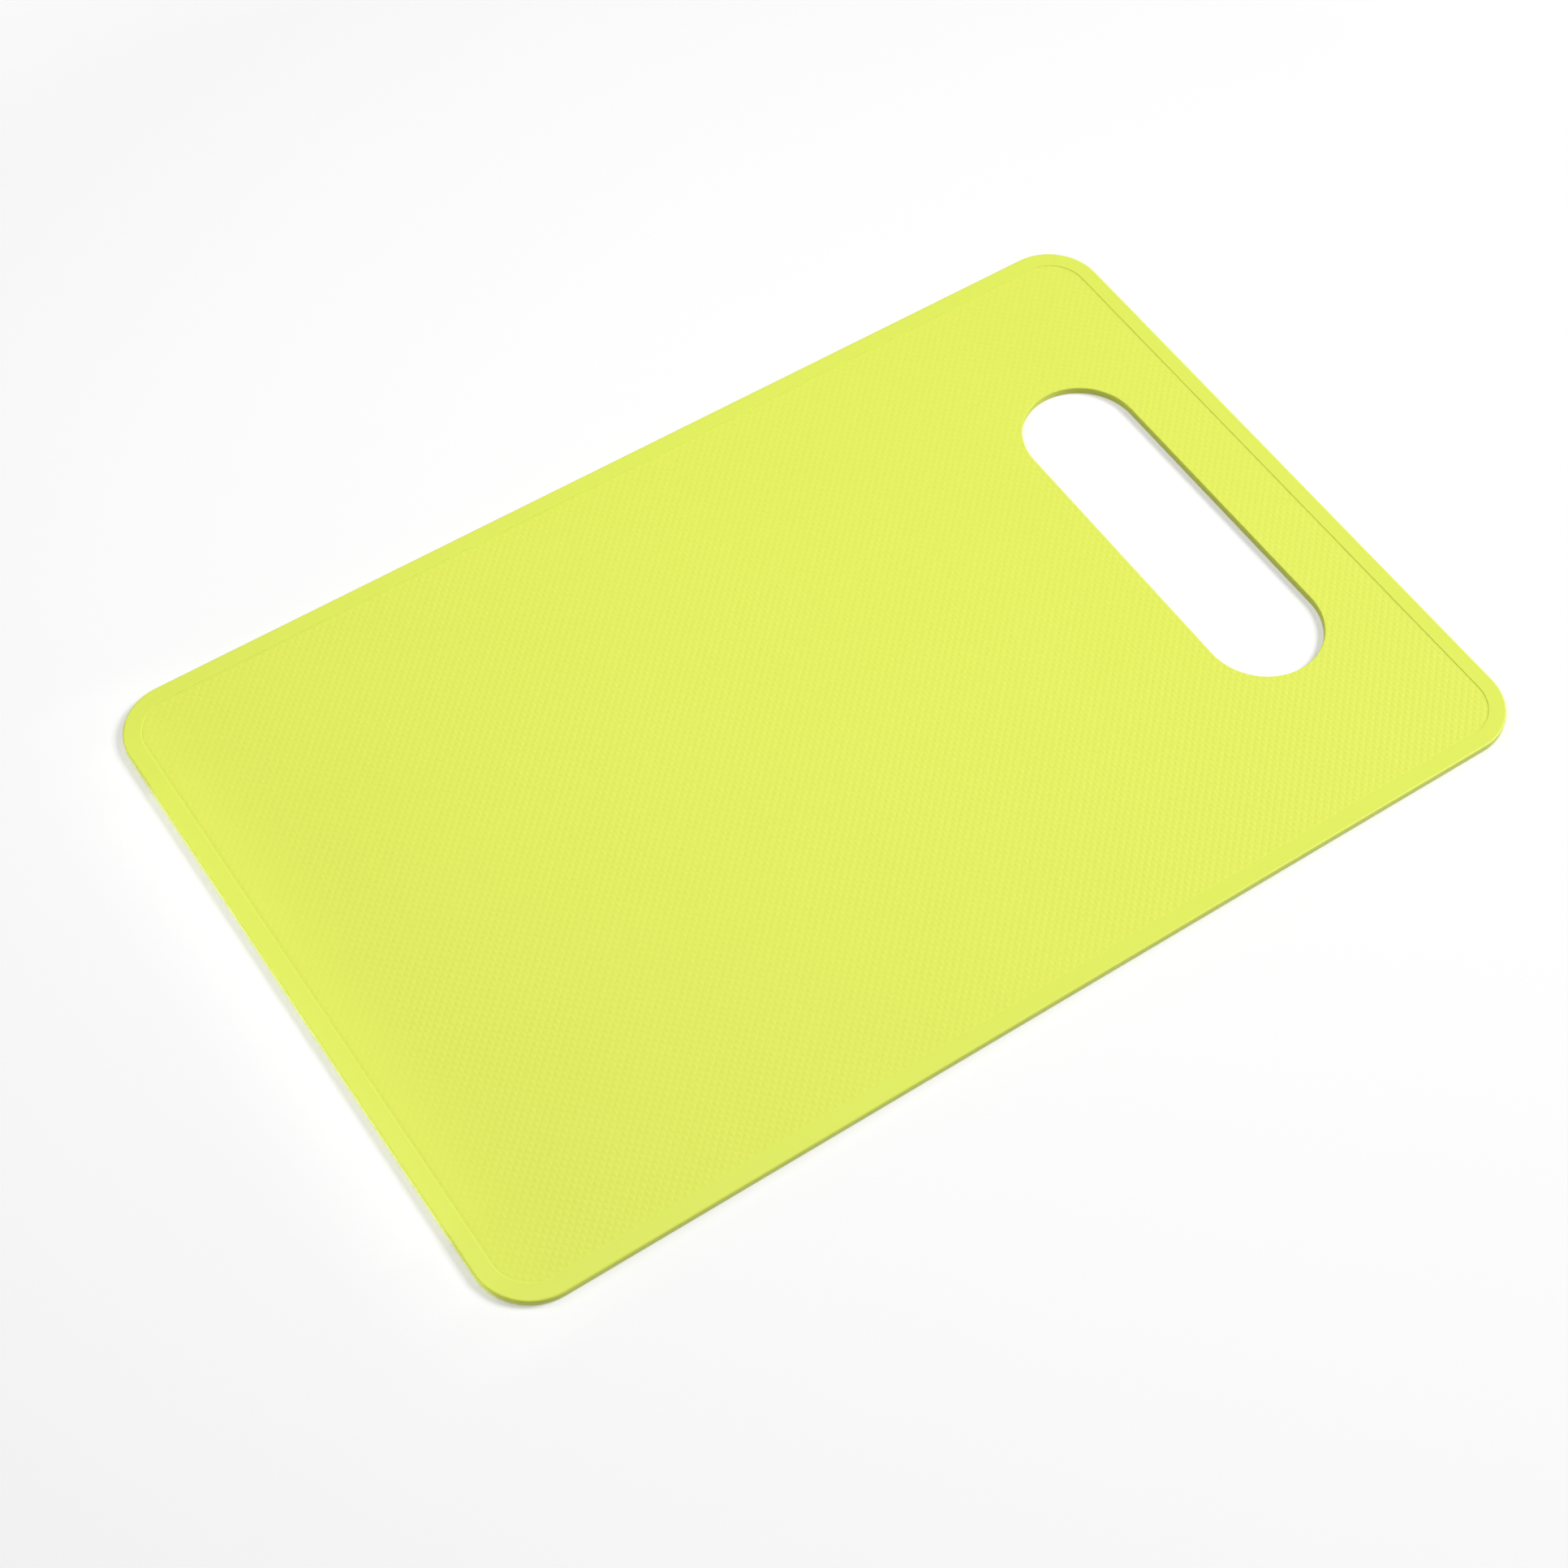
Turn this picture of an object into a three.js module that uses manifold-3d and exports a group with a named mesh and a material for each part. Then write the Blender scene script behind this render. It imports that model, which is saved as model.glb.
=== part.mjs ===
// A thin plastic cutting board with a hand slot: a flat plate inside a smooth rim.
// Millimetres, +Z up. The origin is the middle of the underside, +X points to the slot's end.

import * as THREE from 'three';
import { mergeVertices } from 'three/addons/utils/BufferGeometryUtils.js';
import Module from 'manifold-3d';

// Whole board
const BOARD_LENGTH = 250;
const BOARD_WIDTH = 165;
const BOARD_THICKNESS = 2;
const CORNER_RADIUS = 12.5;

// Hand slot, long way across the board
const SLOT_LENGTH = 91;
const SLOT_WIDTH = 27;
const SLOT_TO_END = 18.5;

// Plate's edges, at the slot and beside the rim
const PLATE_EDGE_ROUND = 0.3;

// Rim, as wide as the smooth border that shows on both faces
const RIM_WIDTH = 3.8;
const RIM_WALL = 1.5;
const RIM_EDGE_ROUND = 0.4;

// Tongue on the plate's edge, which the rim is moulded round
const TONGUE_THICKNESS = 0.7;
const JOINT_GAP = 0.3;

// Steps in each round of an outline, where an arc takes two for each one set, and in each rounded edge
const ARC_STEPS = 10;
const ROUND_STEPS = 2;

// Colours
const PLATE_COLOUR = 0xe0eb56;
const RIM_COLOUR = 0xdeeb54;

const wasm = await Module();
wasm.setup();

const tongueBottom = (BOARD_THICKNESS - TONGUE_THICKNESS) / 2;
const tongueTop = tongueBottom + TONGUE_THICKNESS;

// The board's outline, set in from its outer edge
function boardOutline(inset) {
  const radius = CORNER_RADIUS - inset;
  const cornerX = BOARD_LENGTH / 2 - CORNER_RADIUS;
  const cornerY = BOARD_WIDTH / 2 - CORNER_RADIUS;
  const quarter = Math.PI / 2;
  const outline = new THREE.Shape();
  outline.absarc(cornerX, cornerY, radius, 0, quarter, false);
  outline.absarc(-cornerX, cornerY, radius, quarter, 2 * quarter, false);
  outline.absarc(-cornerX, -cornerY, radius, 2 * quarter, 3 * quarter, false);
  outline.absarc(cornerX, -cornerY, radius, 3 * quarter, 4 * quarter, false);
  outline.closePath();
  return outline;
}

// The hand slot's outline: straight sides and half-round ends
function slotOutline() {
  const radius = SLOT_WIDTH / 2;
  const middleX = BOARD_LENGTH / 2 - SLOT_TO_END - radius;
  const endY = SLOT_LENGTH / 2 - radius;
  const outline = new THREE.Path();
  outline.absarc(middleX, endY, radius, 0, Math.PI, false);
  outline.absarc(middleX, -endY, radius, Math.PI, 2 * Math.PI, false);
  outline.closePath();
  return outline;
}

// The board's outline with the hand slot through it
function slottedOutline(inset) {
  const outline = boardOutline(inset);
  outline.holes.push(slotOutline());
  return outline;
}

// A closed three.js geometry as a solid that can be joined and cut
function solidOf(geometry) {
  geometry.deleteAttribute('normal');
  geometry.deleteAttribute('uv');
  const merged = mergeVertices(geometry);
  return new wasm.Manifold(new wasm.Mesh({
    numProp: 3,
    vertProperties: merged.attributes.position.array,
    triVerts: Uint32Array.from(merged.index.array),
  }));
}

// A flat solid between two heights, with its edges rounded on both faces
function slab(outline, bottom, top, edgeRound) {
  const geometry = new THREE.ExtrudeGeometry(outline, {
    depth: top - bottom - 2 * edgeRound,
    curveSegments: ARC_STEPS,
    bevelEnabled: edgeRound > 0,
    bevelThickness: edgeRound,
    bevelSize: edgeRound,
    bevelOffset: -edgeRound,
    bevelSegments: ROUND_STEPS,
  });
  geometry.translate(0, 0, bottom + edgeRound);
  return solidOf(geometry);
}

// A named mesh of a finished solid
function namedMesh(name, solid, colour, roughness) {
  const { vertProperties, triVerts } = solid.getMesh();
  const geometry = new THREE.BufferGeometry();
  geometry.setAttribute('position', new THREE.BufferAttribute(vertProperties, 3));
  geometry.setIndex(new THREE.BufferAttribute(triVerts, 1));
  geometry.computeVertexNormals();
  const material = new THREE.MeshStandardMaterial({ color: colour, roughness, metalness: 0 });
  const mesh = new THREE.Mesh(geometry, material);
  mesh.name = name;
  return mesh;
}

// Plate: the cutting field, with the hand slot and a thin tongue all round its edge
function cuttingPlate() {
  const field = slab(slottedOutline(RIM_WIDTH + JOINT_GAP), 0, BOARD_THICKNESS, PLATE_EDGE_ROUND);
  const tongue = slab(slottedOutline(RIM_WALL + JOINT_GAP), tongueBottom, tongueTop, 0);
  return namedMesh('cutting_plate', field.add(tongue), PLATE_COLOUR, 0.5);
}

// Rim: a ring round the plate, grooved on its inside for the tongue
function edgeRim() {
  const blank = slab(boardOutline(0), 0, BOARD_THICKNESS, RIM_EDGE_ROUND);
  const opening = slab(boardOutline(RIM_WIDTH), -BOARD_THICKNESS, 2 * BOARD_THICKNESS, 0);
  const groove = slab(boardOutline(RIM_WALL), tongueBottom, tongueTop, 0);
  return namedMesh('edge_rim', blank.subtract(opening).subtract(groove), RIM_COLOUR, 0.4);
}

const board = new THREE.Group();
board.add(cuttingPlate(), edgeRim());

export default board;
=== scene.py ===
import math

import bmesh
import bpy
from mathutils import Matrix, Vector


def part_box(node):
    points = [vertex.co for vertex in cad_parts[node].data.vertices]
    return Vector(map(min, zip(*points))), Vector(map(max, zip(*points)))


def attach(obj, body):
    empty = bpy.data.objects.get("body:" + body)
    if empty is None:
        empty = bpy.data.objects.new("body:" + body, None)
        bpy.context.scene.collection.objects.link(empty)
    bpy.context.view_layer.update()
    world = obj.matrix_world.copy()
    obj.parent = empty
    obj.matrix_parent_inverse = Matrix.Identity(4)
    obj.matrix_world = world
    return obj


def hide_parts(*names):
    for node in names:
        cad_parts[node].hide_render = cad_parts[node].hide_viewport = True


# A lime plastic cutting board lying on a pale floor. Metres, +Z up, +X towards the hand slot.
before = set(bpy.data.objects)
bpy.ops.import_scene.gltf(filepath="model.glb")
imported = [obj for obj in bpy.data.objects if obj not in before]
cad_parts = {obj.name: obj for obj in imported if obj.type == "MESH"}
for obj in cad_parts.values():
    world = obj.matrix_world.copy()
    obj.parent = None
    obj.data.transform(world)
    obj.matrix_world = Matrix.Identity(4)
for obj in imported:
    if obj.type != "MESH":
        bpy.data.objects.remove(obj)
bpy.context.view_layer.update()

MM = 0.001

# Whole board, from the frame
rim_low, rim_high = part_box("edge_rim")
HALF_LENGTH = (rim_high.x - rim_low.x) / 2
HALF_WIDTH = (rim_high.y - rim_low.y) / 2
BOTTOM = rim_low.z
TOP = rim_high.z
CORNER_RADIUS = 12.5 * MM
CORNER_STEPS = 24

# Hand slot
SLOT_HALF_LENGTH = 45.5 * MM
SLOT_RADIUS = 13.5 * MM
SLOT_TO_END = 18.5 * MM
SLOT_MIDDLE = HALF_LENGTH - SLOT_TO_END - SLOT_RADIUS
SLOT_STEPS = 32

# Rim, and the joint line between it and the plate
RIM_WIDTH = 3.8 * MM
RIM_WALL = 1.5 * MM
RIM_EDGE_ROUND = 0.4 * MM
RIM_LIP_ROUND = 0.08 * MM
RIM_RISE = 0.1 * MM
JOINT_GAP = 0.3 * MM
PLATE_INSET = RIM_WIDTH + JOINT_GAP

# Tongue on the plate's edge
TONGUE_INSET = RIM_WALL + JOINT_GAP
TONGUE_THICKNESS = 0.7 * MM
TONGUE_BOTTOM = (BOTTOM + TOP - TONGUE_THICKNESS) / 2
TONGUE_TOP = TONGUE_BOTTOM + TONGUE_THICKNESS

# Plate's edges and its diamond texture: lines at 45 degrees, with a low peak in each diamond
PLATE_EDGE_ROUND = 0.3 * MM
PLATE_BORDER_ROUND = 0.1 * MM
LINE_SPACING = 1.43 * MM
PEAK_HEIGHT = 0.06 * MM
PEAK_ABOVE_FLOOR = 0.02 * MM
FIELD_TOP = TOP - RIM_RISE
FIELD_BOTTOM = BOTTOM + PEAK_ABOVE_FLOOR
JOINT_TOP = FIELD_TOP - PEAK_HEIGHT / 2
JOINT_BOTTOM = FIELD_BOTTOM + PEAK_HEIGHT / 2
TEXTURE_SLOPE = math.atan(2 * PEAK_HEIGHT / LINE_SPACING)
CUTTER_HEIGHT = 1 * MM

# Steps in a rounded edge, the angle of a sharp one, the margin on the slope of a flat face, and the
# distance at which points merge
ROUND_STEPS = 5
SHARP_ANGLE = math.radians(40)
SLOPE_MARGIN = 1.05
MERGE_DISTANCE = 0.001 * MM


# Mesh helpers

def only(kind, geometry):
    """The items of one bmesh type."""
    return [item for item in geometry if isinstance(item, kind)]


def quarter_round(centre_inset, centre_height, radius, start_angle):
    """Points of a quarter circle in a section, counter-clockwise as seen with the height up."""
    points = []
    for step in range(ROUND_STEPS + 1):
        angle = start_angle + math.pi / 2 * step / ROUND_STEPS
        points.append((centre_inset + radius * math.cos(angle), centre_height + radius * math.sin(angle)))
    return points


def carried_round(section, half_length, half_width, radius, steps, closed):
    """Carries a section of (inset, height) points round a rectangle with round corners.
    A closed section makes a ring. An open one makes a solid, with flat faces on its two ends."""
    bm = bmesh.new()
    corner_x = half_length - radius
    corner_y = half_width - radius
    points = [bm.verts.new((half_length - inset, -corner_y, height)) for inset, height in section]
    lines = [bm.edges.new(pair) for pair in zip(points, points[1:])]
    if closed:
        lines.append(bm.edges.new((points[-1], points[0])))
    moving = points + lines
    corners = ((corner_x, corner_y), (-corner_x, corner_y), (-corner_x, -corner_y), (corner_x, -corner_y))
    start = Vector((corner_x, -corner_y, 0))
    for corner in corners:
        end = Vector((*corner, 0))
        run = end - start
        if run.length > MERGE_DISTANCE:
            grown = bmesh.ops.extrude_edge_only(bm, edges=only(bmesh.types.BMEdge, moving))["geom"]
            bmesh.ops.translate(bm, vec=run, verts=only(bmesh.types.BMVert, grown))
            moving = only((bmesh.types.BMVert, bmesh.types.BMEdge), grown)
        spun = bmesh.ops.spin(bm, geom=moving, cent=end, axis=(0, 0, 1), angle=math.pi / 2, steps=steps)
        moving = spun["geom_last"]
        start = end
    bmesh.ops.remove_doubles(bm, verts=bm.verts, dist=MERGE_DISTANCE)
    if not closed:
        open_edges = [edge for edge in bm.edges if edge.is_boundary]
        bmesh.ops.holes_fill(bm, edges=open_edges, sides=0)
    bmesh.ops.recalc_face_normals(bm, faces=bm.faces)
    return bm


def object_of(name, bm):
    """A new object at the origin with the bmesh as its mesh."""
    mesh = bpy.data.meshes.new(name)
    bm.to_mesh(mesh)
    bm.free()
    piece = bpy.data.objects.new(name, mesh)
    bpy.context.scene.collection.objects.link(piece)
    return piece


def cut_away(piece, tools):
    """Cuts each tool's solid out of the piece, and removes the tools."""
    for tool in tools:
        cut = piece.modifiers.new("cut", "BOOLEAN")
        cut.operation = "DIFFERENCE"
        cut.solver = "MANIFOLD"
        cut.object = tool
    bpy.context.view_layer.update()
    shaped = piece.evaluated_get(bpy.context.evaluated_depsgraph_get())
    blank = piece.data
    piece.data = bpy.data.meshes.new_from_object(shaped)
    piece.data.name = piece.name
    piece.modifiers.clear()
    bpy.data.meshes.remove(blank)
    for tool in tools:
        bpy.data.meshes.remove(tool.data)


def finish_piece(piece, node, material):
    """Gives a piece smooth round edges, crisp corners, flat-shaded texture facets and its finish. It hangs
    the piece on the root body and hides the CAD node that it stands for."""
    piece.data.materials.clear()
    piece.data.materials.append(material)
    piece.data.set_sharp_from_angle(angle=SHARP_ANGLE)
    flattest = math.cos(SLOPE_MARGIN * TEXTURE_SLOPE)
    for face in piece.data.polygons:
        face.use_smooth = abs(face.normal.z) < flattest
    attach(piece, "root")
    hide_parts(node)


# Pieces

def slot_tool():
    """The solid that cuts the hand slot, flared at both faces to leave rounded edges."""
    upper = quarter_round(-PLATE_EDGE_ROUND, FIELD_TOP - PLATE_EDGE_ROUND, PLATE_EDGE_ROUND, 0)
    lower = quarter_round(-PLATE_EDGE_ROUND, BOTTOM + PLATE_EDGE_ROUND, PLATE_EDGE_ROUND, 1.5 * math.pi)
    section = [(-PLATE_EDGE_ROUND, BOTTOM - CUTTER_HEIGHT)] + lower
    section += upper + [(-PLATE_EDGE_ROUND, TOP + CUTTER_HEIGHT)]
    bm = carried_round(section, SLOT_RADIUS, SLOT_HALF_LENGTH, SLOT_RADIUS, SLOT_STEPS, False)
    bmesh.ops.translate(bm, vec=(SLOT_MIDDLE, 0, 0), verts=bm.verts)
    return object_of("slot_tool", bm)


def texture_tool(peaks, side):
    """The solid beyond a face that leaves rows of low diamond peaks on it. The side is 1 for the upper
    face and -1 for the lower."""
    reach = (HALF_LENGTH + HALF_WIDTH) / math.sqrt(2)
    cells = 2 * math.ceil(reach / LINE_SPACING)
    bm = bmesh.new()
    bmesh.ops.create_grid(bm, x_segments=cells, y_segments=cells, size=cells * LINE_SPACING / 2)
    bmesh.ops.rotate(bm, cent=(0, 0, 0), matrix=Matrix.Rotation(math.pi / 4, 3, "Z"), verts=bm.verts)
    bmesh.ops.poke(bm, faces=bm.faces, offset=PEAK_HEIGHT)
    bmesh.ops.translate(bm, vec=(0, 0, -PEAK_HEIGHT), verts=bm.verts)
    border = [edge for edge in bm.edges if edge.is_boundary]
    grown = bmesh.ops.extrude_edge_only(bm, edges=border)["geom"]
    bmesh.ops.translate(bm, vec=(0, 0, CUTTER_HEIGHT), verts=only(bmesh.types.BMVert, grown))
    lid = [edge for edge in bm.edges if edge.is_boundary]
    bmesh.ops.holes_fill(bm, edges=lid, sides=0)
    bmesh.ops.scale(bm, vec=(1, 1, side), verts=bm.verts)
    bmesh.ops.translate(bm, vec=(0, 0, peaks), verts=bm.verts)
    bmesh.ops.recalc_face_normals(bm, faces=bm.faces)
    return object_of("texture_tool", bm)


def cutting_plate():
    """The textured plate, with its tongue and its hand slot."""
    middle = PLATE_INSET + PLATE_BORDER_ROUND
    upper = quarter_round(middle, FIELD_TOP - PLATE_BORDER_ROUND, PLATE_BORDER_ROUND, 0.5 * math.pi)
    lower = quarter_round(middle, BOTTOM + PLATE_BORDER_ROUND, PLATE_BORDER_ROUND, math.pi)
    section = upper
    section += [(PLATE_INSET, TONGUE_TOP), (TONGUE_INSET, TONGUE_TOP)]
    section += [(TONGUE_INSET, TONGUE_BOTTOM), (PLATE_INSET, TONGUE_BOTTOM)]
    section += lower
    bm = carried_round(section, HALF_LENGTH, HALF_WIDTH, CORNER_RADIUS, CORNER_STEPS, False)
    plate = object_of("board_plate", bm)
    cut_away(plate, [slot_tool(), texture_tool(FIELD_TOP, 1), texture_tool(FIELD_BOTTOM, -1)])
    return plate


def edge_rim():
    """The smooth rim, with a round outer edge and a groove for the tongue."""
    lip = RIM_WIDTH - RIM_LIP_ROUND
    section = quarter_round(RIM_EDGE_ROUND, TOP - RIM_EDGE_ROUND, RIM_EDGE_ROUND, 0.5 * math.pi)
    section += quarter_round(RIM_EDGE_ROUND, BOTTOM + RIM_EDGE_ROUND, RIM_EDGE_ROUND, math.pi)
    section += quarter_round(lip, BOTTOM + RIM_LIP_ROUND, RIM_LIP_ROUND, 1.5 * math.pi)
    section += [(RIM_WIDTH, JOINT_BOTTOM), (PLATE_INSET, JOINT_BOTTOM)]
    section += [(PLATE_INSET, TONGUE_BOTTOM), (RIM_WALL, TONGUE_BOTTOM)]
    section += [(RIM_WALL, TONGUE_TOP), (PLATE_INSET, TONGUE_TOP)]
    section += [(PLATE_INSET, JOINT_TOP), (RIM_WIDTH, JOINT_TOP)]
    section += quarter_round(lip, TOP - RIM_LIP_ROUND, RIM_LIP_ROUND, 0)
    bm = carried_round(section, HALF_LENGTH, HALF_WIDTH, CORNER_RADIUS, CORNER_STEPS, True)
    return object_of("board_rim", bm)


# Materials

PLATE_COLOUR = "#E3ED5E"
PLATE_SHADE = "#E0EB5A"
PLATE_ROUGHNESS = 0.5
PLATE_SPECULAR = 0.35
RIM_COLOUR = "#E1ED5C"
RIM_SHADE = "#DEEB58"
RIM_ROUGHNESS = 0.4
RIM_SPECULAR = 0.4
PLASTIC_IOR = 1.49
CLOUD_SIZE = 35 * MM
SHEEN_SIZE = 6 * MM
SHEEN_SWING = 0.05
GRAIN_SIZE = 0.5 * MM
GRAIN_DEPTH = 0.02 * MM
GRAIN_STRENGTH = 0.1
WHITE = (1, 1, 1, 1)


def linear(hex_colour):
    """An sRGB hex colour as linear red, green, blue and alpha."""
    channels = []
    for place in (1, 3, 5):
        share = int(hex_colour[place:place + 2], 16) / 255
        channels.append(share / 12.92 if share <= 0.04045 else ((share + 0.055) / 1.055) ** 2.4)
    return (*channels, 1)


def add_node(tree, kind, settings=None, values=None, links=None):
    """Adds a node with its settings, its input values and its incoming links."""
    node = tree.nodes.new(kind)
    for name, value in (settings or {}).items():
        setattr(node, name, value)
    for name, value in (values or {}).items():
        node.inputs[name].default_value = value
    for name, source in (links or {}).items():
        tree.links.new(source, node.inputs[name])
    return node


def moulded_polypropylene(name, colour, shade, roughness, specular):
    """Lime polypropylene as it leaves the mould: an even colour with the faintest cloudiness, a soft
    sheen that varies a little from place to place, and a fine grain from the spark-eroded steel."""
    material = bpy.data.materials.new(name)
    material.use_nodes = True
    tree = material.node_tree
    tree.nodes.clear()
    place = add_node(tree, "ShaderNodeTexCoord").outputs["Object"]
    clouds = add_node(tree, "ShaderNodeTexNoise",
                      values={"Scale": 1 / CLOUD_SIZE, "Detail": 3, "Roughness": 0.5},
                      links={"Vector": place})
    tone = add_node(tree, "ShaderNodeMix", {"data_type": "RGBA"}, links={"Factor": clouds.outputs["Fac"]})
    tone.inputs["A"].default_value = linear(shade)
    tone.inputs["B"].default_value = linear(colour)
    sheen = add_node(tree, "ShaderNodeTexNoise",
                     values={"Scale": 1 / SHEEN_SIZE, "Detail": 4}, links={"Vector": place})
    gloss = add_node(tree, "ShaderNodeMapRange",
                     values={"To Min": roughness - SHEEN_SWING, "To Max": roughness + SHEEN_SWING},
                     links={"Value": sheen.outputs["Fac"]})
    grain = add_node(tree, "ShaderNodeTexNoise",
                     values={"Scale": 1 / GRAIN_SIZE, "Detail": 2}, links={"Vector": place})
    bump = add_node(tree, "ShaderNodeBump",
                    values={"Strength": GRAIN_STRENGTH, "Distance": GRAIN_DEPTH},
                    links={"Height": grain.outputs["Fac"]})
    surface = add_node(tree, "ShaderNodeBsdfPrincipled",
                       values={"IOR": PLASTIC_IOR, "Specular IOR Level": specular},
                       links={"Base Color": tone.outputs["Result"], "Roughness": gloss.outputs["Result"],
                              "Normal": bump.outputs["Normal"]})
    add_node(tree, "ShaderNodeOutputMaterial", links={"Surface": surface.outputs["BSDF"]})
    return material


# Stage, with lengths in metres and power in watts

FLOOR_HALF = 4
FLOOR_COLOUR = "#CECECE"
AMBIENT = 0.05

# Light that the floor adds for the camera, and the distances from which it rises and at which it is white
FLOOR_GLOW = 0.383
FADE_START = 0.25
FADE_END = 0.8

# Softboxes, each with its place, the point that it faces, its side and its power
SOFTBOXES = {
    "right_softbox": ((1.11, -0.45, 1.2), (0, 0, 0), 0.65, 25.4),
    "top_softbox": ((-0.03, 0.05, 0.4), (-0.03, 0.05, 0), 0.3, 0.465),
    "back_softbox": ((-0.45, 0.45, 0.64), (0, 0, 0), 0.35, 1.25),
}

# Strips that light the left edge, with their power for each metre
STRIP_PLACE = (-0.422, 0, 0.0424)
STRIP_AIM = (-0.125, 0, 0.0006)
STRIP_LENGTHS = (0.12, 0.15, 0.18)
STRIP_HEIGHT = 0.002
STRIP_SPREAD = math.radians(1.4)
STRIP_POWER = 0.0036


def seen_directly(tree):
    """1 where the camera sees a surface, straight on, in a gloss or through something clear, and
    otherwise 0."""
    path = add_node(tree, "ShaderNodeLightPath")
    mirrored = add_node(tree, "ShaderNodeMath", {"operation": "MAXIMUM"})
    tree.links.new(path.outputs["Is Glossy Ray"], mirrored.inputs[0])
    tree.links.new(path.outputs["Is Transmission Ray"], mirrored.inputs[1])
    seen = add_node(tree, "ShaderNodeMath", {"operation": "MAXIMUM"})
    tree.links.new(path.outputs["Is Camera Ray"], seen.inputs[0])
    tree.links.new(mirrored.outputs[0], seen.inputs[1])
    return seen.outputs[0]


def white_paper():
    """Matt pale paper, lifted to white for the camera, as a bright exposure does. It keeps the shadow, and
    away from the board it fades to the plain white beyond the floor."""
    material = bpy.data.materials.new("matt_white_paper")
    material.use_nodes = True
    tree = material.node_tree
    tree.nodes.clear()
    place = add_node(tree, "ShaderNodeTexCoord").outputs["Object"]
    distance = add_node(tree, "ShaderNodeVectorMath", {"operation": "LENGTH"}, links={"Vector": place})
    fade = add_node(tree, "ShaderNodeMapRange",
                    values={"From Min": FADE_START, "From Max": FADE_END,
                            "To Min": FLOOR_GLOW, "To Max": 1},
                    links={"Value": distance.outputs["Value"]})
    lift = add_node(tree, "ShaderNodeMapRange", values={"To Min": 0},
                    links={"Value": seen_directly(tree), "To Max": fade.outputs["Result"]})
    paper = add_node(tree, "ShaderNodeBsdfDiffuse", values={"Color": linear(FLOOR_COLOUR)})
    glow = add_node(tree, "ShaderNodeEmission", values={"Color": WHITE},
                    links={"Strength": lift.outputs["Result"]})
    lifted = add_node(tree, "ShaderNodeAddShader")
    tree.links.new(paper.outputs["BSDF"], lifted.inputs[0])
    tree.links.new(glow.outputs["Emission"], lifted.inputs[1])
    add_node(tree, "ShaderNodeOutputMaterial", links={"Surface": lifted.outputs["Shader"]})
    return material


def floor():
    """A plain pale floor, which takes the board's shadow."""
    bm = bmesh.new()
    bmesh.ops.create_grid(bm, x_segments=1, y_segments=1, size=FLOOR_HALF)
    piece = object_of("floor", bm)
    piece.data.materials.append(white_paper())


def softbox(name, place, aim, width, height, power):
    """A soft rectangular lamp that faces a point."""
    lamp = bpy.data.lights.new(name, "AREA")
    lamp.shape = "RECTANGLE"
    lamp.size = width
    lamp.size_y = height
    lamp.energy = power
    holder = bpy.data.objects.new(name, lamp)
    holder.location = place
    holder.rotation_euler = (Vector(aim) - Vector(place)).to_track_quat("-Z", "Y").to_euler()
    holder.visible_camera = False
    bpy.context.scene.collection.objects.link(holder)
    return holder


def edge_light():
    """Low strips on the left, whose narrow beams light the board's left edge. They differ in length, so
    that their light on the floor ends softly."""
    for length in STRIP_LENGTHS:
        power = STRIP_POWER * length
        strip = softbox("left_strip", STRIP_PLACE, STRIP_AIM, length, STRIP_HEIGHT, power)
        strip.data.spread = STRIP_SPREAD
        strip.visible_glossy = False


def studio_light():
    """A main softbox on the right, one overhead, one behind on the left, the strips for the left edge,
    and a little even light from all round. Past the floor, the camera sees white."""
    for name, (place, aim, side, power) in SOFTBOXES.items():
        softbox(name, place, aim, side, side, power)
    edge_light()
    world = bpy.data.worlds.new("studio")
    bpy.context.scene.world = world
    world.use_nodes = True
    tree = world.node_tree
    tree.nodes.clear()
    strength = add_node(tree, "ShaderNodeMapRange",
                        values={"To Min": AMBIENT, "To Max": 1}, links={"Value": seen_directly(tree)})
    sky = add_node(tree, "ShaderNodeBackground", values={"Color": WHITE},
                   links={"Strength": strength.outputs["Result"]})
    add_node(tree, "ShaderNodeOutputWorld", links={"Surface": sky.outputs["Background"]})


# Camera, as the photograph was taken
CAMERA_AIM = Vector((-15.55 * MM, -10.16 * MM, TOP))
CAMERA_AZIMUTH = math.radians(-34.85)
CAMERA_ELEVATION = math.radians(55.94)
CAMERA_DISTANCE = 637.4 * MM
CAMERA_ROLL = math.radians(1.355)
CAMERA_LENS = 70.93
CAMERA_SENSOR = 36


def camera():
    """A camera on the near left of the board, looking down at it."""
    data = bpy.data.cameras.new("camera")
    data.sensor_width = CAMERA_SENSOR
    data.lens = CAMERA_LENS
    away = Vector((math.cos(CAMERA_ELEVATION) * math.sin(CAMERA_AZIMUTH),
                   -math.cos(CAMERA_ELEVATION) * math.cos(CAMERA_AZIMUTH),
                   math.sin(CAMERA_ELEVATION)))
    holder = bpy.data.objects.new("camera", data)
    turn = (-away).to_track_quat("-Z", "Y").to_matrix().to_4x4()
    holder.matrix_world = (Matrix.Translation(CAMERA_AIM + away * CAMERA_DISTANCE) @ turn
                           @ Matrix.Rotation(CAMERA_ROLL, 4, "Z"))
    bpy.context.scene.collection.objects.link(holder)
    bpy.context.scene.camera = holder


bpy.context.scene.view_settings.view_transform = "Standard"
camera()
plate_plastic = moulded_polypropylene("polypropylene_textured", PLATE_COLOUR, PLATE_SHADE,
                                      PLATE_ROUGHNESS, PLATE_SPECULAR)
rim_plastic = moulded_polypropylene("polypropylene_smooth", RIM_COLOUR, RIM_SHADE,
                                    RIM_ROUGHNESS, RIM_SPECULAR)
finish_piece(cutting_plate(), "cutting_plate", plate_plastic)
finish_piece(edge_rim(), "edge_rim", rim_plastic)
floor()
studio_light()
